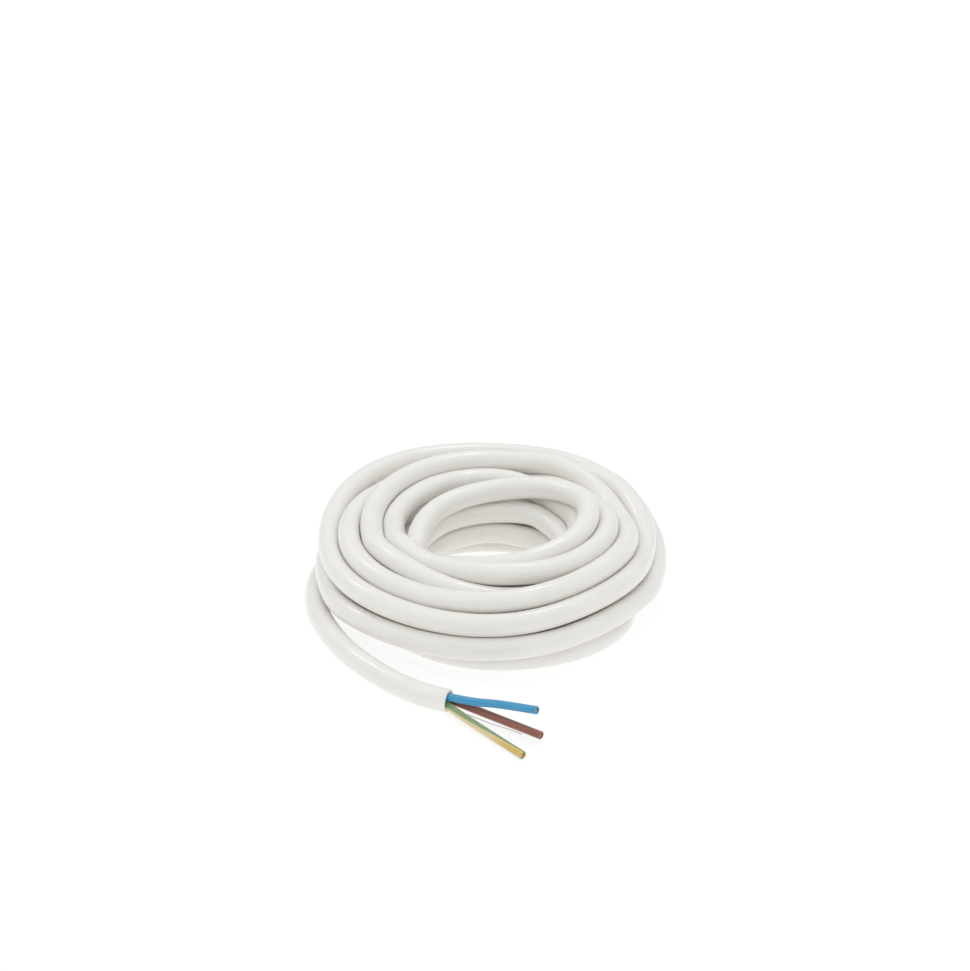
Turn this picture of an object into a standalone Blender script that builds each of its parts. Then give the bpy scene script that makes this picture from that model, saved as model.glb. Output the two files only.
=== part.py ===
"""A coil of three-core flexible cable, lying flat, with its stripped end brought round to the front."""

import math

import bmesh
import bpy
from mathutils import Vector

# Cable, in metres, from its copper outwards
CONDUCTOR_DIAMETER = 0.0016
CONDUCTOR_CLEARANCE = 0.0001
INSULATION_WALL = 0.00055
CORE_CLEARANCE = 0.0003
SOCKET_CLEARANCE = 0.0003
SOCKET_DEPTH = 0.010
SHEATH_WALL = 0.0007

# Coil, in metres: the middle of its innermost turns, and the air between its turns
INNER_TURN_RADIUS = 0.030
TURN_GAP = 0.0003
COIL_CLEARANCE = 0.0003

# The turns that show round the coil's section, clockwise from the top inner one, in pitches
# outwards from the innermost turns and upwards from the floor
SECTION_TURNS = (
    (0.10, 2.93),
    (1.08, 2.73),
    (2.05, 2.55),
    (3.00, 2.45),
    (3.60, 1.68),
    (3.78, 0.72),
    (3.08, 0.00),
    (1.90, 0.00),
    (0.70, 0.00),
    (0.00, 0.97),
    (0.00, 1.95),
)
SIDES_PER_TURN = 10
GROOVE_ANGLE = math.radians(20)
STEPS_AROUND = 48

# The free end's route, a list chosen by hand: along the floor from under the coil's back, out
# past its left side and round to the front, in metres from the coil's axis
TAIL_ROUTE = (
    (-0.0217, 0.0538),
    (-0.0334, 0.0496),
    (-0.0445, 0.0429),
    (-0.0534, 0.0343),
    (-0.0601, 0.0243),
    (-0.0646, 0.0131),
    (-0.0664, 0.0012),
    (-0.0661, -0.0115),
    (-0.0643, -0.0228),
    (-0.0608, -0.0337),
    (-0.0556, -0.0460),
    (-0.0493, -0.0567),
    (-0.0420, -0.0665),
    (-0.0344, -0.0751),
    (-0.0289, -0.0798),
    (-0.0240, -0.0834),
    (-0.0197, -0.0859),
    (-0.0152, -0.0878),
)
TAIL_SPACING = 0.009
TAIL_SIDES = 12

# The cores' free ends, chosen by hand: three points from the cable's cut face to each tip, in
# metres from the axis
CORE_ROUTES = {
    "blue": ((-0.0058, -0.0950, 0.0079), (0.0030, -0.0996, 0.0095), (0.0161, -0.1075, 0.0116)),
    "brown": ((-0.0059, -0.0935, 0.0040), (0.0020, -0.0991, 0.0036), (0.0175, -0.1110, 0.0034)),
    "green_yellow": (
        (-0.0092, -0.0977, 0.0027),
        (-0.0005, -0.1079, 0.0020),
        (0.0110, -0.1219, 0.0017),
    ),
}
# Where each core lies in the cable, as an angle up from the side away from the front
CORE_ANGLES = {"blue": 105, "brown": 345, "green_yellow": 225}
CORE_SPACING = 0.005
CORE_SIDES = 8

BORE_RADIUS = CONDUCTOR_DIAMETER / 2 + CONDUCTOR_CLEARANCE
CORE_RADIUS = BORE_RADIUS + INSULATION_WALL
BUNDLE_RADIUS = (2 * CORE_RADIUS + CORE_CLEARANCE) / math.sqrt(3)
SOCKET_RADIUS = BUNDLE_RADIUS + CORE_RADIUS + SOCKET_CLEARANCE
CABLE_RADIUS = SOCKET_RADIUS + SHEATH_WALL
TURN_PITCH = 2 * CABLE_RADIUS + TURN_GAP
PAST_THE_FACE = 0.002

COLOURS = {
    "sheath": (0.78, 0.76, 0.71),
    "blue": (0.045, 0.33, 0.60),
    "brown": (0.22, 0.075, 0.055),
    "green_yellow": (0.72, 0.56, 0.12),
    "copper": (0.80, 0.42, 0.26),
}


def clear_scene():
    for old in list(bpy.data.objects):
        bpy.data.objects.remove(old)


def new_collection(name):
    collection = bpy.data.collections.new(name)
    bpy.context.scene.collection.children.link(collection)
    return collection


def material(name, colour, roughness, metallic=0.0):
    made = bpy.data.materials.new(name)
    made.use_nodes = True
    shader = made.node_tree.nodes["Principled BSDF"]
    shader.inputs["Base Color"].default_value = (*colour, 1.0)
    shader.inputs["Roughness"].default_value = roughness
    shader.inputs["Metallic"].default_value = metallic
    return made


def smooth_line(route, spacing):
    """Points about this far apart on a Catmull-Rom curve through the route's points."""
    knots = [Vector(point) for point in route]
    ends = [2 * knots[0] - knots[1], *knots, 2 * knots[-1] - knots[-2]]
    line = [knots[0]]
    for before, start, stop, after in zip(ends, ends[1:], ends[2:], ends[3:]):
        count = max(1, round((stop - start).length / spacing))
        for step in range(1, count + 1):
            t = step / count
            line.append(
                0.5
                * (
                    2 * start
                    + (stop - before) * t
                    + (2 * before - 5 * start + 4 * stop - after) * t**2
                    + (3 * start - before - 3 * stop + after) * t**3
                )
            )
    return line


def lengthened(line, at_start, at_end):
    """The same line, longer by these lengths at its ends."""
    first = line[0] + (line[0] - line[1]).normalized() * at_start
    last = line[-1] + (line[-1] - line[-2]).normalized() * at_end
    return [first, *line[1:-1], last]


def tube(name, line, radius, sides, collection):
    """A closed round bar along the line, as a mesh."""
    curve = bpy.data.curves.new(name + "_curve", "CURVE")
    curve.dimensions = "3D"
    curve.bevel_depth = radius
    curve.bevel_resolution = sides // 2 - 2
    curve.use_fill_caps = True
    spline = curve.splines.new("POLY")
    spline.points.add(len(line) - 1)
    for point, place in zip(spline.points, line):
        point.co = (*place, 1.0)
    guide = bpy.data.objects.new(name + "_guide", curve)
    collection.objects.link(guide)
    graph = bpy.context.evaluated_depsgraph_get()
    mesh = bpy.data.meshes.new_from_object(guide.evaluated_get(graph))
    made = bpy.data.objects.new(name, mesh)
    made.matrix_world = guide.matrix_world
    collection.objects.link(made)
    bpy.data.objects.remove(guide)
    weld(mesh)
    return made


def weld(mesh):
    shape = bmesh.new()
    shape.from_mesh(mesh)
    bmesh.ops.remove_doubles(shape, verts=shape.verts, dist=1e-6)
    bmesh.ops.recalc_face_normals(shape, faces=shape.faces)
    shape.to_mesh(mesh)
    shape.free()


def cut(target, cutter):
    cutter.hide_render = True
    cutter.display_type = "WIRE"
    boolean = target.modifiers.new("cut_" + cutter.name, "BOOLEAN")
    boolean.operation = "DIFFERENCE"
    boolean.object = cutter


def finish(made, surface, smooth=True):
    made.data.materials.clear()
    made.data.materials.append(surface)
    if smooth:
        made.data.shade_smooth()
        made.data.set_sharp_from_angle(angle=math.radians(40))


def turn_centres():
    """Radius and height of each turn round the section; the lowest ones rest on a flat side."""
    rest_height = CABLE_RADIUS * math.cos(math.pi / SIDES_PER_TURN)
    return [
        (INNER_TURN_RADIUS + out * TURN_PITCH, rest_height + up * TURN_PITCH)
        for out, up in SECTION_TURNS
    ]


def section_outline():
    """The ring's section: the outer corners of each turn, with a groove from each to the next."""
    centres = turn_centres()
    step = 2 * math.pi / SIDES_PER_TURN
    outline = []
    for index, (radius, height) in enumerate(centres):
        before = centres[index - 1]
        after = centres[(index + 1) % len(centres)]
        start = math.atan2(before[1] - height, before[0] - radius) - GROOVE_ANGLE
        stop = math.atan2(after[1] - height, after[0] - radius) + GROOVE_ANGLE
        sweep = (start - stop) % (2 * math.pi)
        # Corners lie half a step either side of straight down, so the lowest side is level
        corner = -math.pi / 2 + step / 2
        corner += math.floor((start - corner) / step) * step
        while start - corner <= sweep:
            outline.append(
                (
                    radius + CABLE_RADIUS * math.cos(corner),
                    height + CABLE_RADIUS * math.sin(corner),
                )
            )
            corner -= step
    return outline


def make_coil(collection):
    """The wound turns as one turned ring with its bore."""
    outline = section_outline()
    mesh = bpy.data.meshes.new("cable_coil")
    edges = [(i, (i + 1) % len(outline)) for i in range(len(outline))]
    mesh.from_pydata([(radius, 0.0, height) for radius, height in outline], edges, [])
    coil = bpy.data.objects.new("cable_coil", mesh)
    collection.objects.link(coil)
    turned = coil.modifiers.new("turned", "SCREW")
    turned.angle = 2 * math.pi
    turned.steps = STEPS_AROUND
    turned.render_steps = STEPS_AROUND
    turned.use_merge_vertices = True
    turned.merge_threshold = 0.00001
    return coil


def tail_line():
    return smooth_line([(x, y, CABLE_RADIUS) for x, y in TAIL_ROUTE], TAIL_SPACING)


def make_tail(line, collection, cutters):
    """The free stretch of the cable, with a socket in its cut end that holds the cores."""
    tail = tube("cable_tail", line, CABLE_RADIUS, TAIL_SIDES, collection)
    along = (line[-1] - line[-2]).normalized()
    inner = line[-1] - along * SOCKET_DEPTH
    outer = line[-1] + along * PAST_THE_FACE
    cut(tail, tube("socket_cutter", [inner, outer], SOCKET_RADIUS, TAIL_SIDES, cutters))
    return tail


def core_line(name, face, along):
    """A core's route, from the socket's floor out through the cut face to its tip."""
    away = Vector((0, 0, 1)).cross(along)
    angle = math.radians(CORE_ANGLES[name])
    offset = BUNDLE_RADIUS * (away * math.cos(angle) + Vector((0, 0, 1)) * math.sin(angle))
    inner = face + offset - along * (SOCKET_DEPTH - SOCKET_CLEARANCE)
    middle = face + offset - along * SOCKET_DEPTH / 2
    return smooth_line([inner, middle, face + offset, *CORE_ROUTES[name]], CORE_SPACING)


def make_core(name, line, collection, cutters):
    """One core: its coloured insulation, and the copper that fills it and ends flush with it."""
    core = tube("core_" + name, line, CORE_RADIUS, CORE_SIDES, collection)
    through = lengthened(line, PAST_THE_FACE, PAST_THE_FACE)
    cut(core, tube("bore_cutter_" + name, through, BORE_RADIUS, CORE_SIDES, cutters))
    conductor = tube(
        "conductor_" + name, line, CONDUCTOR_DIAMETER / 2, CORE_SIDES, collection
    )
    return core, conductor


def stand_on_origin(pieces):
    """Puts the middle of the whole object's footprint at the origin."""
    graph = bpy.context.evaluated_depsgraph_get()
    corners = []
    for piece in pieces:
        shape = piece.evaluated_get(graph)
        corners += [shape.matrix_world @ vertex.co for vertex in shape.data.vertices]
    lows = [min(corner[axis] for corner in corners) for axis in range(3)]
    highs = [max(corner[axis] for corner in corners) for axis in range(3)]
    stand = bpy.data.objects.new("coil_axis", None)
    bpy.context.scene.collection.objects.link(stand)
    for thing in bpy.data.objects:
        if thing is not stand:
            thing.parent = stand
    stand.location = (-(lows[0] + highs[0]) / 2, -(lows[1] + highs[1]) / 2, -lows[2])


def main():
    clear_scene()
    parts = new_collection("coil_of_cable")
    cutters = new_collection("cutters")
    sheath = material("sheath_pvc", COLOURS["sheath"], 0.32)
    copper = material("copper", COLOURS["copper"], 0.35, metallic=1.0)

    coil = make_coil(parts)
    finish(coil, sheath)
    line = tail_line()
    tail = make_tail(line, parts, cutters)
    finish(tail, sheath)
    passage = lengthened(line, COIL_CLEARANCE, PAST_THE_FACE)
    cut(
        coil,
        tube("tail_cutter", passage, CABLE_RADIUS + COIL_CLEARANCE, TAIL_SIDES, cutters),
    )

    pieces = [coil, tail]
    face = line[-1]
    along = (line[-1] - line[-2]).normalized()
    for name in CORE_ROUTES:
        route = core_line(name, face, along)
        core, conductor = make_core(name, route, parts, cutters)
        finish(core, material("insulation_" + name, COLOURS[name], 0.35))
        finish(conductor, copper)
        pieces += [core, conductor]
    stand_on_origin(pieces)


main()
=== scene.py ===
"""The looks of a coil of three-core cable: the cable wound turn by turn, its stripped end, and a studio."""

import math

import bpy
import numpy as np
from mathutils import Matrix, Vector


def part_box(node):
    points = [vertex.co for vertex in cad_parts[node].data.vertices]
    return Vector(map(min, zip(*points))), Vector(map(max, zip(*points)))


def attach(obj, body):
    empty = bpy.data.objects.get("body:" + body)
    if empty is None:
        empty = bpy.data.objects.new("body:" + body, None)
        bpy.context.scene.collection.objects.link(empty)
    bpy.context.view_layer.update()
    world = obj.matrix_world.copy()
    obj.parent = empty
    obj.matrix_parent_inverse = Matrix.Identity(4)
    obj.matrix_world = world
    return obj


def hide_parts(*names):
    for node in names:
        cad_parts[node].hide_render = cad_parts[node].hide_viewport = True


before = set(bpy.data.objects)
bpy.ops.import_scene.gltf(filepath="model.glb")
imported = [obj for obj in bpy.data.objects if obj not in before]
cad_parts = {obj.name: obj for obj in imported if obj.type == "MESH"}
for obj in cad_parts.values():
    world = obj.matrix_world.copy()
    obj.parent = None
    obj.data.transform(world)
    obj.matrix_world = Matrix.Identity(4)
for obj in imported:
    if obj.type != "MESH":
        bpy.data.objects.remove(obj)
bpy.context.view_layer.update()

# Sizes and places, in metres, from the frame: the cable's diameter and the coil's axis

TAIL_LOW, TAIL_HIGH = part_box("cable_tail")
COIL_LOW, COIL_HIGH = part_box("cable_coil")
D = TAIL_HIGH.z - TAIL_LOW.z
AXIS = Vector(((COIL_LOW.x + COIL_HIGH.x) / 2, (COIL_LOW.y + COIL_HIGH.y) / 2, 0.0))

# The cable's route

# Where the cable runs in each turn: its distances from the coil's axis and its heights, in
# cable diameters, at eight places round the coil from its left side towards its front
STATIONS = 8
STEPS_BETWEEN = 6
STEPS_PER_TURN = STATIONS * STEPS_BETWEEN
FIRST_ANGLE = 180.0
TURNS = (
    # its inner end lies on the floor, and two turns climb the wall of the hole
    ((4.50, 4.40, 4.25, 4.10, 4.20, 4.85, 4.75, 4.90), (0.50, 0.50, 0.50, 0.50, 0.50, 0.50, 0.50, 0.50)),
    ((4.40, 3.90, 3.50, 3.10, 3.10, 3.70, 3.50, 3.60), (0.50, 0.50, 0.70, 1.00, 1.30, 1.50, 1.58, 1.45)),
    ((3.35, 3.10, 3.10, 3.15, 3.45, 3.75, 3.40, 3.40), (1.20, 1.15, 1.55, 2.00, 2.30, 2.55, 2.55, 2.40)),
    # the loop on top round the hole, which dives under itself on the left, then the other turns on top
    ((3.40, 3.05, 3.50, 3.75, 4.35, 4.05, 3.40, 3.15), (2.25, 2.55, 3.30, 3.60, 4.00, 3.90, 3.60, 3.35)),
    ((3.20, 3.80, 3.80, 4.05, 3.95, 4.45, 5.40, 4.90), (2.90, 2.20, 2.20, 2.50, 3.00, 3.00, 3.10, 3.15)),
    ((4.27, 4.20, 4.50, 4.85, 5.30, 5.35, 6.30, 6.55), (3.20, 3.25, 3.50, 3.40, 3.50, 3.15, 2.60, 3.05)),
    ((6.25, 6.10, 6.10, 5.80, 5.75, 6.00, 6.35, 5.90), (3.10, 2.90, 2.95, 3.10, 2.95, 3.35, 3.70, 3.65)),
    ((5.20, 5.05, 5.20, 5.10, 5.30, 5.25, 5.20, 5.10), (3.35, 3.35, 2.65, 2.50, 2.20, 1.95, 2.15, 2.20)),
    # hidden in the pile, down to the floor and outwards
    ((5.30, 4.95, 5.20, 4.95, 4.40, 4.25, 4.35, 4.20), (2.25, 2.10, 1.60, 1.60, 2.10, 1.95, 1.85, 1.85)),
    ((4.30, 4.15, 4.20, 4.00, 4.35, 5.10, 5.20, 5.20), (1.75, 1.50, 1.40, 1.50, 1.30, 1.20, 1.20, 1.35)),
    ((5.00, 4.90, 4.80, 5.00, 5.15, 5.65, 5.80, 5.90), (1.15, 0.55, 0.50, 0.50, 0.50, 0.50, 0.50, 0.50)),
    ((5.80, 5.40, 5.65, 5.75, 5.40, 6.10, 6.15, 6.00), (0.50, 1.30, 0.80, 0.80, 1.25, 1.25, 1.45, 1.50)),
    ((6.20, 6.25, 6.20, 5.80, 6.05, 6.90, 7.60, 7.60), (1.45, 1.50, 1.65, 1.65, 1.40, 1.75, 1.40, 1.45)),
    # the outside of the pile, and the last turn on the floor
    ((7.20, 7.30, 7.40, 6.90, 6.95, 7.85, 8.00, 7.85), (1.40, 1.45, 1.40, 1.40, 1.60, 2.90, 3.30, 3.40)),
    ((7.10, 6.95, 7.00, 6.45, 6.65, 7.15, 7.20, 6.75), (2.55, 2.45, 2.30, 2.40, 2.50, 3.40, 2.35, 1.50)),
    ((6.70, 5.75, 6.50, 6.40, 5.95, 6.45, 6.65, 7.15), (0.75, 0.50, 0.50, 0.50, 0.50, 0.50, 0.50, 0.50)),
)

# The angle where the cable's inner end is, in degrees, partway into the first turn
INNER_END_ANGLE = 300.0

# The free end's route along the floor, from under the coil's back, in metres from the coil's axis
TAIL_ROUTE = (
    (-0.0217, 0.0538),
    (-0.0334, 0.0496),
    (-0.0445, 0.0429),
    (-0.0534, 0.0343),
    (-0.0601, 0.0243),
    (-0.0646, 0.0131),
    (-0.0664, 0.0012),
    (-0.0661, -0.0115),
    (-0.0643, -0.0228),
    (-0.0608, -0.0337),
    (-0.0556, -0.0460),
    (-0.0493, -0.0567),
    (-0.0420, -0.0665),
    (-0.0344, -0.0751),
    (-0.0289, -0.0798),
    (-0.0240, -0.0834),
    (-0.0197, -0.0859),
    (-0.0152, -0.0878),
)

# The cores' free ends, in metres from the axis, as in the part's source, and where each core lies in the
# bundle at the sheath's mouth, in degrees round it
CORE_ROUTES = {
    "blue": ((-0.0058, -0.0950, 0.0079), (0.0030, -0.0996, 0.0095), (0.0161, -0.1075, 0.0116)),
    "brown": ((-0.0059, -0.0935, 0.0040), (0.0020, -0.0991, 0.0036), (0.0175, -0.1110, 0.0034)),
    "green_yellow": ((-0.0092, -0.0977, 0.0027), (-0.0005, -0.1079, 0.0020), (0.0110, -0.1219, 0.0017)),
}
CORE_ANGLES = {"blue": 105, "brown": 345, "green_yellow": 225}

# A thin filler thread lies beside the cores. It starts inside the sheath, at places given from the middle
# of the cut face as (forward, up), and runs to the floor, in metres from the axis
THREAD_START = ((-0.004, -0.0022), (0.0005, -0.0026))
THREAD_ROUTE = (
    (-0.0109, -0.0920, 0.0018),
    (-0.0066, -0.0935, 0.0010),
    (-0.0005, -0.0971, 0.0003),
    (0.0030, -0.0992, 0.0003),
    (0.0083, -0.1028, 0.0003),
    (0.0108, -0.1049, 0.0003),
)
THREAD_RADIUS = 0.00024

# The cable's make, in metres

SOCKET_RADIUS = 0.00345
SOCKET_DEPTH = 0.0008
SOCKET_CLEARANCE = 0.0003
BUNDLE_RADIUS = 0.00185
CORE_RADIUS = 0.0015
CORE_BORE = 0.00088
CUT_EDGE = 0.00012

# Each core's copper: strands in layers round the first, which turn once in the lay's length. They are
# drawn a little thin, and their ends are set back unevenly from the insulation's end
STRAND_RADIUS = 0.000165
STRAND_LAYERS = (1, 6, 12)
STRAND_LAY = 0.030
STRAND_THINNING = 0.97
STRAND_SET_BACK = 0.00025
STRAND_UNEVENNESS = 0.00003

# How the wound turns settle, with distances in cable diameters

SETTLE_ROUNDS = 160
TURN_DISTANCE = 1.0
ON_FLOOR = 0.5
PUSH_SHARE = 0.4
PULL_HOME = 0.03
STRAIGHTEN = 0.05

# How much of the free end the last turns settle against, in degrees round the axis
TAIL_BESIDE = 90.0

# How finely the lines and meshes are divided, with spacings in metres

TAIL_STEPS = 8
CABLE_STEPS = 6
CORE_STEPS = 10
CABLE_SPACING = D / 3
CORE_SPACING = 0.0008
THREAD_SPACING = 0.0004
CABLE_SIDES = 32
CORE_SIDES = 24
STRAND_SIDES = 8
THREAD_SIDES = 12
SHARP_ANGLE = 40.0

# The point of a core's line where its bore and its strands start, hidden by the insulation
BORE_START = 3

# The length coordinate of a cable's textures, in metres a unit
TEXTURE_LENGTH = 0.01

# Camera, in metres from the axis

CAMERA_PLACE = Vector((-0.0023, -1.1415, 0.5993))
CAMERA_PITCH = 25.80
LENS = 125.06
SENSOR = 36.0

# Light: two soft boxes in a white tent, as (direction from the coil, width, height, power in watts), the
# tent's strength level with the floor and overhead, and a floor that glows a little

LIGHT_DISTANCE = 1.2
SOFT_BOXES = {
    "soft_box_left": ((-0.52, 0.49, 0.70), 0.13, 0.17, 0.5),
    "soft_box_above": ((0.14, 0.42, 0.90), 0.14, 0.12, 0.6),
}
TENT_LOW, TENT_HIGH = 0.63, 1.10
TENT_COLOUR = (0.97, 0.985, 1.0)
FLOOR_COLOUR = (0.25, 0.25, 0.25)
FLOOR_DARKENING = 0.95
FLOOR_GLOW = 0.79
FLOOR_HALF = 3.0

# Colours, linear: what each material is and what it shades to, and green stripes on a yellow that deepens
# towards the tip

SHEATH_COLOUR = (0.88, 0.86, 0.815)
SHEATH_SHADE = (0.845, 0.82, 0.77)
INSULATION = {
    "blue": ((0.048, 0.34, 0.59), (0.035, 0.28, 0.52)),
    "brown": ((0.335, 0.125, 0.09), (0.24, 0.087, 0.062)),
    "green_yellow": ((0.76, 0.63, 0.37), (0.72, 0.56, 0.28)),
}
TIP_YELLOW = (0.68, 0.48, 0.12)
STRIPE_COLOUR = (0.25, 0.41, 0.18)
COPPER_BRIGHT = (0.93, 0.52, 0.34)
COPPER_TARNISHED = (0.55, 0.25, 0.14)
# The thread's two colours: its plies' own, and painted shade for the grooves between them
THREAD_COLOUR = (0.92, 0.92, 0.90)
THREAD_PAINTED_GROOVE_SHADE = (0.84, 0.84, 0.82)

# Where the two stripes' middles start round the core, how they turn, half their width and their soft
# edge, in turns and turns a centimetre, and the centimetres over which the yellow deepens
STRIPE_STARTS = (0.125, 0.62)
STRIPE_TWIST = 0.05
STRIPE_HALF = 0.09
STRIPE_EDGE = 0.008
STRIPE_DARKENING = 0.7
TIP_RANGE = (2.6, 3.5)

# Textures: noises as (scale, detail, roughness), the ranges of a noise that a look changes over, bumps as
# (strength, distance in metres), and how much the length is stretched in those that lie round a cable
CLOUDS = (1.3, 4.0, 0.5)
CLOUD_RANGE = (0.3, 0.7)
CLOUD_STRETCH = 0.6
DIE_LINES = (9.0, 5.0, 0.6)
DIE_LINE_STRETCH = 0.04
DIE_LINE_BUMP = (0.10, 0.0002)
SKIN = (1500.0, 2.0, 0.5)
SKIN_BUMP = (0.05, 0.00008)
MARKS = (140.0, 5.0, 0.7)
MARK_RANGE = (0.60, 0.74)
STRIPE_CLOUDS = (2.0, 3.0, 0.5)
TARNISH = (900.0, 4.0, 0.5)
TARNISH_COLOUR_RANGE = (0.35, 0.7)
TARNISH_GLOSS_RANGE = (0.3, 0.7)
WIRE_LINES = (12.0, 3.0, 0.5)
WIRE_LINE_STRETCH = 0.05
WIRE_LINE_BUMP = (0.15, 0.00004)
PAPER_FIBRE = (400.0, 3.0, 0.5)
THREAD_PLIES = 2
THREAD_TWIST = 12.0
THREAD_BUMP = (0.05, 0.00003)

# Gloss: each plastic's as (roughness, coat). Its roughness goes from the lower to the higher of two shares
# of this value as its clouds and scuff marks add up over the gloss range, and the marks are darker too
SHEATH_GLOSS = (0.32, 0.45)
INSULATION_GLOSS = (0.34, 0.15)
COAT_ROUGHNESS = 0.06
PLASTIC_IOR = 1.53
ROUGHNESS_SHARES = (0.85, 1.5)
GLOSS_RANGE = (0.3, 1.2)
MARK_DARKENING = 0.72
MARK_SHARE = 0.16
MARK_ROUGHNESS = 0.6
COPPER_ROUGHNESS = (0.22, 0.42)
THREAD_ROUGHNESS = 0.75
PAPER_ROUGHNESS = 0.9
PAPER_SPECULAR = 0.2


def new_object(name, data):
    """An object in the scene that shows this data."""
    made = bpy.data.objects.new(name, data)
    bpy.context.scene.collection.objects.link(made)
    return made


def make_camera():
    """The photograph's view: from the front, looking down past the middle of the coil."""
    data = bpy.data.cameras.new("camera")
    data.lens = LENS
    data.sensor_width = SENSOR
    camera = new_object("camera", data)
    camera.location = AXIS + CAMERA_PLACE
    camera.rotation_euler = (math.radians(90 - CAMERA_PITCH), 0, 0)
    bpy.context.scene.camera = camera


# Lines


def spline(knots, steps):
    """Points on a Catmull-Rom curve through the knots, with this many steps from each to the next."""
    knots = np.asarray(knots, float)
    ends = np.vstack([2 * knots[0] - knots[1], knots, 2 * knots[-1] - knots[-2]])
    a, b, c, d = ends[:-3], ends[1:-2], ends[2:-1], ends[3:]
    t = np.arange(steps)[None, :, None] / steps
    a, b, c, d = (k[:, None, :] for k in (a, b, c, d))
    line = 0.5 * (2 * b + (c - a) * t + (2 * a - 5 * b + 4 * c - d) * t**2 + (3 * b - a - 3 * c + d) * t**3)
    return np.vstack([line.reshape(-1, knots.shape[1]), knots[-1]])


def distances(line):
    """How far along the line each of its points is."""
    return np.concatenate([[0.0], np.cumsum(np.linalg.norm(np.diff(line, axis=0), axis=1))])


def even(line, spacing):
    """The same line with points at about this even spacing."""
    along = distances(line)
    count = max(2, round(along[-1] / spacing) + 1)
    places = np.linspace(0.0, along[-1], count)
    return np.stack([np.interp(places, along, line[:, k]) for k in range(line.shape[1])], axis=1)


# The winding


def settle(pile, start, held):
    """Pushes turns that would cut into each other apart, and keeps the cable smooth and on the floor.

    The pile holds radius and height at even steps of angle, the first of them start steps into its
    turn. Points a whole turn apart lie in one half plane through the axis, where the cable's section is
    nearly a circle. Its last points, as many as held, stay where they are.
    """
    rows = math.ceil((start + len(pile)) / STEPS_PER_TURN)
    home = pile.copy()
    own = np.arange(rows)
    for _ in range(SETTLE_ROUNDS):
        table = np.full((rows * STEPS_PER_TURN, 2), np.nan)
        table[start : start + len(pile)] = pile
        table = table.reshape(rows, STEPS_PER_TURN, 2)
        apart = table[:, None] - table[None]
        distance = np.hypot(apart[..., 0], apart[..., 1])
        distance[own, own] = np.nan
        short = np.clip(TURN_DISTANCE - distance, 0.0, None)
        push = np.nansum(apart / distance[..., None] * short[..., None], axis=1)
        moved = pile + PUSH_SHARE * push.reshape(-1, 2)[start : start + len(pile)]
        moved += (home - moved) * PULL_HOME
        moved[1:-1] += ((moved[:-2] + moved[2:]) / 2 - moved[1:-1]) * STRAIGHTEN
        moved[:, 1] = np.maximum(moved[:, 1], ON_FLOOR)
        moved[-held:] = home[-held:]
        pile = moved
    return pile


def cable_line():
    """The whole cable's middle line, from its inner end to its cut free end, in metres from the axis."""
    tail_knots = [(x, y, D / 2) for x, y in TAIL_ROUTE]
    tail = spline(tail_knots, TAIL_STEPS)
    step = 360.0 / STEPS_PER_TURN
    start = round((INNER_END_ANGLE - FIRST_ANGLE) / step)
    pile = spline([station for turn in TURNS for station in zip(*turn)], STEPS_BETWEEN)[start:]
    angles = INNER_END_ANGLE + step * np.arange(len(pile))

    # The tail takes over in the last turn, and is part of what the pile settles against
    tail_angles = np.degrees(np.unwrap(np.arctan2(tail[:, 1], tail[:, 0])))
    tail_angles += 360.0 * len(TURNS)
    wound = angles < tail_angles[0] - step / 2
    beside = np.arange(angles[wound][-1] + step, tail_angles[0] + TAIL_BESIDE, step)
    radii = np.interp(beside, tail_angles, np.hypot(tail[:, 0], tail[:, 1]) / D)
    pile = np.vstack([pile[wound], np.stack([radii, np.full(len(radii), ON_FLOOR)], axis=1)])
    pile = settle(pile, start, len(beside))[: -len(beside)]

    around = np.radians(angles[wound])
    turns = np.stack([pile[:, 0] * np.cos(around), pile[:, 0] * np.sin(around), pile[:, 1]], axis=1) * D
    return even(spline(np.vstack([turns, tail_knots]), CABLE_STEPS), CABLE_SPACING)


# Meshes


def frames_along(line):
    """At each point of the line, its direction, and two directions across it that don't twist along it."""
    tangents = np.gradient(line, axis=0)
    tangents /= np.linalg.norm(tangents, axis=1)[:, None]
    side = np.cross(tangents[0], (0.0, 0.0, 1.0))
    sides = []
    for tangent in tangents:
        side = side - tangent * np.dot(side, tangent)
        side /= np.linalg.norm(side)
        sides.append(side)
    sides = np.array(sides)
    return tangents, sides, np.cross(sides, tangents)


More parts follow.
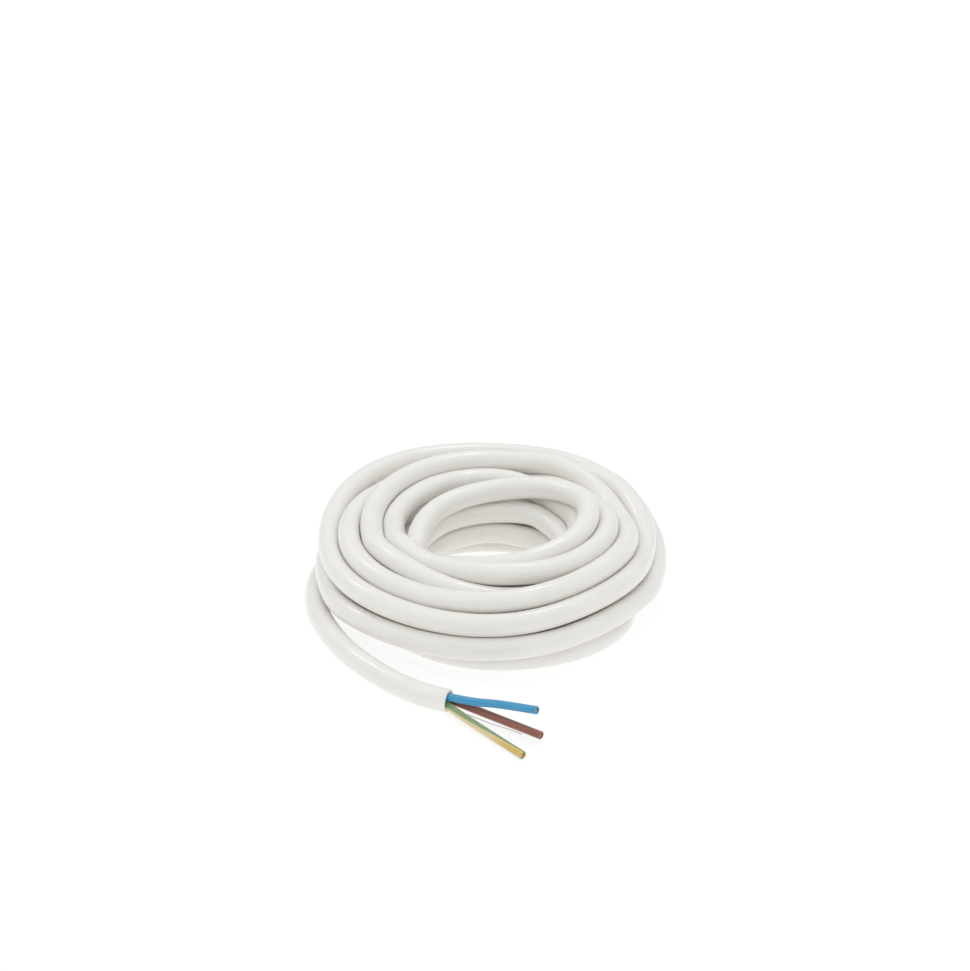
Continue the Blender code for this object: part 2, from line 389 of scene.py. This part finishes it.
def swept(name, line, rings, sides, material):
    """A closed round mesh along the line: each ring is (index of the line's point, shift along it, radius).

    Its texture coordinates are the length along it and the share of a turn round it.
    """
    tangents, across, up = frames_along(line)
    lengths = distances(line)
    angles = np.linspace(0.0, 2 * math.pi, sides, endpoint=False)
    vertices, middles, places = [], [], []
    for index, shift, radius in rings:
        middles.append(line[index] + tangents[index] * shift)
        ring = np.cos(angles)[:, None] * across[index] + np.sin(angles)[:, None] * up[index]
        vertices.append(middles[-1] + ring * radius)
        places.append((lengths[index] + shift) / TEXTURE_LENGTH)
    vertices += [[middles[0]], [middles[-1]]]

    faces, corners = [], []
    for row in range(len(rings) - 1):
        here, there = row * sides, (row + 1) * sides
        for side in range(sides):
            following = (side + 1) % sides
            faces.append((here + side, there + side, there + following, here + following))
            low, high = side / sides, (side + 1) / sides
            corners += [(places[row], low), (places[row + 1], low)]
            corners += [(places[row + 1], high), (places[row], high)]
    last_ring = (len(rings) - 1) * sides
    first_middle = len(rings) * sides
    for side in range(sides):
        following = (side + 1) % sides
        faces.append((first_middle, side, following))
        faces.append((first_middle + 1, last_ring + following, last_ring + side))
        corners += [(places[0], side / sides)] * 3 + [(places[-1], side / sides)] * 3

    mesh = bpy.data.meshes.new(name)
    mesh.from_pydata(np.vstack(vertices).tolist(), [], faces)
    layer = mesh.uv_layers.new(name="length_and_turn")
    layer.data.foreach_set("uv", np.array(corners, float).ravel())
    mesh.materials.append(material)
    mesh.shade_smooth()
    mesh.set_sharp_from_angle(angle=math.radians(SHARP_ANGLE))
    return new_object(name, mesh)


def make_sheath(line, material):
    """The sheath: solid at its inner end, and at its free end a cut rim round the socket of the cores."""
    radius = D / 2
    last = len(line) - 1
    rings = [(0, CUT_EDGE, radius / 2), (0, 0.0, radius - CUT_EDGE), (0, CUT_EDGE, radius)]
    rings += [(k, 0.0, radius) for k in range(1, last)]
    rings += [(last, -CUT_EDGE, radius), (last, 0.0, radius - CUT_EDGE)]
    rings += [(last, 0.0, SOCKET_RADIUS + CUT_EDGE), (last, -CUT_EDGE, SOCKET_RADIUS)]
    rings += [(last, -SOCKET_DEPTH, SOCKET_RADIUS)]
    return swept("cable_sheath", line, rings, CABLE_SIDES, material)


def core_line(name, face, along):
    """A core's middle line, from just inside the sheath's mouth to its cut tip."""
    away = np.cross((0, 0, 1), along)
    angle = math.radians(CORE_ANGLES[name])
    mouth = face + BUNDLE_RADIUS * (away * math.cos(angle) + np.array((0, 0, 1)) * math.sin(angle))
    start = mouth - along * (SOCKET_DEPTH - SOCKET_CLEARANCE)
    knots = [start, mouth - along * SOCKET_DEPTH / 2, mouth, *CORE_ROUTES[name]]
    return even(spline(knots, CORE_STEPS), CORE_SPACING)


def make_insulation(name, line, material):
    """A core's insulation: a tube that is closed at its end in the sheath and open at its tip."""
    last = len(line) - 1
    rings = [(k, 0.0, CORE_RADIUS) for k in range(last)]
    rings += [(last, -CUT_EDGE, CORE_RADIUS), (last, 0.0, CORE_RADIUS - CUT_EDGE), (last, 0.0, CORE_BORE)]
    rings += [(k, 0.0, CORE_BORE) for k in range(last - 1, BORE_START - 1, -1)]
    return swept(name, line, rings, CORE_SIDES, material)


def make_strands(name, line, material):
    """A core's bare copper strands, laid in a helix in its insulation and cut off just inside its end."""
    _, across, up = frames_along(line)
    lengths = distances(line)
    radius = STRAND_RADIUS * STRAND_THINNING
    strands = []
    for layer, count in enumerate(STRAND_LAYERS):
        for k in range(count):
            turn = 2 * math.pi * (k / count + lengths / STRAND_LAY)
            out = np.cos(turn)[:, None] * across + np.sin(turn)[:, None] * up
            own = (line + out * STRAND_RADIUS * 2 * layer)[BORE_START:]
            last = len(own) - 1
            rings = [(j, 0.0, radius) for j in range(last)]
            rings.append((last, -STRAND_SET_BACK - STRAND_UNEVENNESS * (k % 3), radius))
            strands.append(swept(name, own, rings, STRAND_SIDES, material))
    with bpy.context.temp_override(active_object=strands[0], selected_editable_objects=strands):
        bpy.ops.object.join()
    return strands[0]


# Materials


def fill(tree, node, values):
    """Gives a node's inputs, by name or number, their values: each another node's output or a constant."""
    for key, value in values.items():
        if isinstance(value, bpy.types.NodeSocket):
            tree.links.new(value, node.inputs[key])
        else:
            node.inputs[key].default_value = value


def add(tree, kind, values=None, **settings):
    """A new node of this kind, with its inputs' values by name or number and its other settings."""
    made = tree.nodes.new("ShaderNode" + kind)
    for key, value in settings.items():
        setattr(made, key, value)
    fill(tree, made, values or {})
    return made


def new_material(name):
    """A material, its nodes and its shader."""
    made = bpy.data.materials.new(name)
    made.use_nodes = True
    return made, made.node_tree, made.node_tree.nodes["Principled BSDF"]


def object_places(tree):
    """A texture vector in the object's own metres."""
    return add(tree, "TexCoord").outputs["Object"]


def cable_places(tree):
    """The length along the cable in centimetres, and the share of a turn round it."""
    uv = add(tree, "UVMap", uv_map="length_and_turn")
    split = add(tree, "SeparateXYZ", {"Vector": uv.outputs["UV"]})
    return split.outputs["X"], split.outputs["Y"]


def calculated(tree, operation, *values):
    """What this operation makes of the values, each a socket or a number."""
    return add(tree, "Math", dict(enumerate(values)), operation=operation).outputs[0]


def round_cable(tree, stretch):
    """A texture vector that has no seam round the cable, with its length scaled by stretch."""
    length, turn = cable_places(tree)
    angle = calculated(tree, "MULTIPLY", turn, 2 * math.pi)
    along = calculated(tree, "MULTIPLY", length, stretch)
    cosine = calculated(tree, "COSINE", angle)
    sine = calculated(tree, "SINE", angle)
    return add(tree, "CombineXYZ", {"X": along, "Y": cosine, "Z": sine}).outputs[0]


def noise(tree, vector, scale, detail, roughness):
    """Noise from 0 to 1 along a texture vector."""
    values = {"Vector": vector, "Scale": scale, "Detail": detail, "Roughness": roughness}
    return add(tree, "TexNoise", values).outputs["Fac"]


def spread(tree, value, low, high, to_low=0.0, to_high=1.0):
    """The value's range from low to high, mapped on to another range."""
    values = {"Value": value, "From Min": low, "From Max": high, "To Min": to_low, "To Max": to_high}
    return add(tree, "MapRange", values).outputs[0]


def darker(colour, share):
    """This share of a colour's light."""
    return tuple(share * c for c in colour)


def mixed(tree, share, first, second):
    """A colour between the first and the second, each a socket or three numbers."""
    first, second = (c if isinstance(c, bpy.types.NodeSocket) else (*c, 1.0) for c in (first, second))
    made = add(tree, "Mix", {0: share, 6: first, 7: second}, data_type="RGBA")
    return made.outputs[2]


def bumped(tree, height, strength, distance, under=None):
    """A surface normal with this relief, on top of another one if it is given."""
    values = {"Height": height, "Strength": strength, "Distance": distance}
    if under is not None:
        values["Normal"] = under
    return add(tree, "Bump", values).outputs["Normal"]


def extruded_plastic(name, colour, shade, roughness, coat):
    """Extruded plastic: clouded colour, uneven gloss, lines drawn along it by the die, and a fine skin."""
    made, tree, shader = new_material(name)
    clouds = noise(tree, round_cable(tree, CLOUD_STRETCH), *CLOUDS)
    lines = noise(tree, round_cable(tree, DIE_LINE_STRETCH), *DIE_LINES)
    place = object_places(tree)
    skin = noise(tree, place, *SKIN)
    marks = spread(tree, noise(tree, place, *MARKS), *MARK_RANGE)
    body = mixed(tree, spread(tree, clouds, *CLOUD_RANGE), shade, colour)
    mark_share = spread(tree, marks, 0.0, 1.0, to_high=MARK_SHARE)
    mark_roughness = spread(tree, marks, 0.0, 1.0, to_high=MARK_ROUGHNESS)
    gloss = calculated(tree, "ADD", clouds, mark_roughness)
    smooth, rough = (roughness * share for share in ROUGHNESS_SHARES)
    drawn = bumped(tree, lines, *DIE_LINE_BUMP)
    values = {
        "Base Color": mixed(tree, mark_share, body, darker(shade, MARK_DARKENING)),
        "Roughness": spread(tree, gloss, *GLOSS_RANGE, smooth, rough),
        "Normal": bumped(tree, skin, *SKIN_BUMP, under=drawn),
        "IOR": PLASTIC_IOR,
        "Coat Weight": coat,
        "Coat Roughness": COAT_ROUGHNESS,
    }
    fill(tree, shader, values)
    return made


def striped_insulation(name, colour, shade):
    """The earth core's insulation: yellow, with two green stripes that turn slowly round it."""
    made = extruded_plastic(name, colour, shade, *INSULATION_GLOSS)
    tree = made.node_tree
    shader = tree.nodes["Principled BSDF"]
    length, turn = cable_places(tree)
    stripes = []
    for start in STRIPE_STARTS:
        opposite = calculated(tree, "MULTIPLY_ADD", length, STRIPE_TWIST, start - 0.5)
        wrapped = calculated(tree, "FRACT", calculated(tree, "SUBTRACT", turn, opposite))
        aside = calculated(tree, "ABSOLUTE", calculated(tree, "SUBTRACT", wrapped, 0.5))
        stripes.append(spread(tree, aside, STRIPE_HALF - STRIPE_EDGE, STRIPE_HALF + STRIPE_EDGE, 1.0, 0.0))
    stripe = calculated(tree, "MAXIMUM", *stripes)
    pale_yellow = shader.inputs["Base Color"].links[0].from_socket
    yellow = mixed(tree, spread(tree, length, *TIP_RANGE), pale_yellow, TIP_YELLOW)
    clouds = noise(tree, round_cable(tree, CLOUD_STRETCH), *STRIPE_CLOUDS)
    green = mixed(tree, clouds, STRIPE_COLOUR, darker(STRIPE_COLOUR, STRIPE_DARKENING))
    fill(tree, shader, {"Base Color": mixed(tree, stripe, yellow, green)})
    return made


def copper():
    """Drawn copper wire, bright and a little tarnished in small patches along it."""
    made, tree, shader = new_material("copper")
    tarnish = noise(tree, object_places(tree), *TARNISH)
    drawn = noise(tree, round_cable(tree, WIRE_LINE_STRETCH), *WIRE_LINES)
    dulled = spread(tree, tarnish, *TARNISH_COLOUR_RANGE)
    values = {
        "Base Color": mixed(tree, dulled, COPPER_BRIGHT, COPPER_TARNISHED),
        "Roughness": spread(tree, tarnish, *TARNISH_GLOSS_RANGE, *COPPER_ROUGHNESS),
        "Normal": bumped(tree, drawn, *WIRE_LINE_BUMP),
        "Metallic": 1.0,
    }
    fill(tree, shader, values)
    return made


def thread_fibre():
    """Twisted pale fibre, with painted shade in the grooves between its plies."""
    made, tree, shader = new_material("thread_fibre")
    length, turn = cable_places(tree)
    twisted = calculated(tree, "MULTIPLY_ADD", length, THREAD_TWIST, turn)
    rope = calculated(tree, "SINE", calculated(tree, "MULTIPLY", twisted, 2 * math.pi * THREAD_PLIES))
    values = {
        # Painted shade: the colour darkens where the twist's relief is low, in the grooves between the
        # plies
        "Base Color": mixed(tree, spread(tree, rope, -1.0, 1.0), THREAD_PAINTED_GROOVE_SHADE, THREAD_COLOUR),
        "Normal": bumped(tree, rope, *THREAD_BUMP),
        "Roughness": THREAD_ROUGHNESS,
    }
    fill(tree, shader, values)
    return made


def floor_paper():
    """White paper that glows a little, as a lit table does."""
    made, tree, shader = new_material("floor_paper")
    fibre = noise(tree, object_places(tree), *PAPER_FIBRE)
    values = {
        "Base Color": mixed(tree, fibre, darker(FLOOR_COLOUR, FLOOR_DARKENING), FLOOR_COLOUR),
        "Roughness": PAPER_ROUGHNESS,
        "Specular IOR Level": PAPER_SPECULAR,
        "Emission Color": (1.0, 1.0, 1.0, 1.0),
        "Emission Strength": FLOOR_GLOW,
    }
    fill(tree, shader, values)
    return made


# Studio


def make_tent():
    """A white tent all round, brighter overhead than level with the floor."""
    world = bpy.data.worlds.new("tent")
    bpy.context.scene.world = world
    world.use_nodes = True
    tree = world.node_tree
    direction = add(tree, "TexCoord").outputs["Generated"]
    height = add(tree, "SeparateXYZ", {"Vector": direction}).outputs["Z"]
    strength = spread(tree, height, 0.0, 1.0, TENT_LOW, TENT_HIGH)
    fill(tree, tree.nodes["Background"], {"Color": (*TENT_COLOUR, 1.0), "Strength": strength})


def make_soft_boxes():
    """Two soft boxes behind and above the coil, turned towards it."""
    for name, (direction, width, height, power) in SOFT_BOXES.items():
        data = bpy.data.lights.new(name, "AREA")
        data.shape = "RECTANGLE"
        data.size, data.size_y, data.energy = width, height, power
        box = new_object(name, data)
        box.location = AXIS + Vector(direction).normalized() * LIGHT_DISTANCE
        box.rotation_euler = Vector(direction).to_track_quat("Z", "Y").to_euler()


def make_floor():
    """A plain sheet of paper under the coil."""
    mesh = bpy.data.meshes.new("floor")
    corners = [(x * FLOOR_HALF, y * FLOOR_HALF, 0) for x, y in ((-1, -1), (1, -1), (1, 1), (-1, 1))]
    mesh.from_pydata(corners, [], [(0, 1, 2, 3)])
    mesh.materials.append(floor_paper())
    new_object("floor", mesh)


def make_studio():
    """A white floor in a white tent, with two soft boxes."""
    bpy.context.scene.view_settings.view_transform = "Standard"
    make_tent()
    make_soft_boxes()
    make_floor()


# The cable


def make_cores(face, along):
    """The stripped cores and their strands, from the sheath's cut face onwards."""
    wire = copper()
    made = []
    for name, (colour, shade) in INSULATION.items():
        if name == "green_yellow":
            material = striped_insulation("insulation_" + name, colour, shade)
        else:
            material = extruded_plastic("insulation_" + name, colour, shade, *INSULATION_GLOSS)
        line = core_line(name, face, along) + np.array(AXIS)
        insulation = make_insulation("core_" + name + "_insulation", line, material)
        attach(insulation, "root")
        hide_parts("core_" + name)
        strands = make_strands("conductor_" + name + "_strands", line, wire)
        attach(strands, "root")
        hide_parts("conductor_" + name)
        made += [insulation, strands]
    return made


def make_thread(face, along):
    """The loose filler thread that was left when the sheath was cut back."""
    start = [face + along * forward + np.array((0.0, 0.0, up)) for forward, up in THREAD_START]
    line = even(spline([*start, *THREAD_ROUTE], CORE_STEPS), THREAD_SPACING) + np.array(AXIS)
    rings = [(k, 0.0, THREAD_RADIUS) for k in range(len(line))]
    thread = swept("filler_thread", line, rings, THREAD_SIDES, thread_fibre())
    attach(thread, "root")
    return thread


def make_cable():
    """The cable, as one cord from its end in the coil to the cores' tips."""
    line = cable_line()
    face = line[-1]
    along = (line[-1] - line[-2]) / np.linalg.norm(line[-1] - line[-2])
    line = line + np.array(AXIS)
    sheath_pvc = extruded_plastic("sheath_pvc", SHEATH_COLOUR, SHEATH_SHADE, *SHEATH_GLOSS)
    sheath = make_sheath(line, sheath_pvc)
    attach(sheath, "root")
    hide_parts("cable_coil", "cable_tail")
    ends = [*make_cores(face, along), make_thread(face, along)]


make_camera()
make_studio()
make_cable()
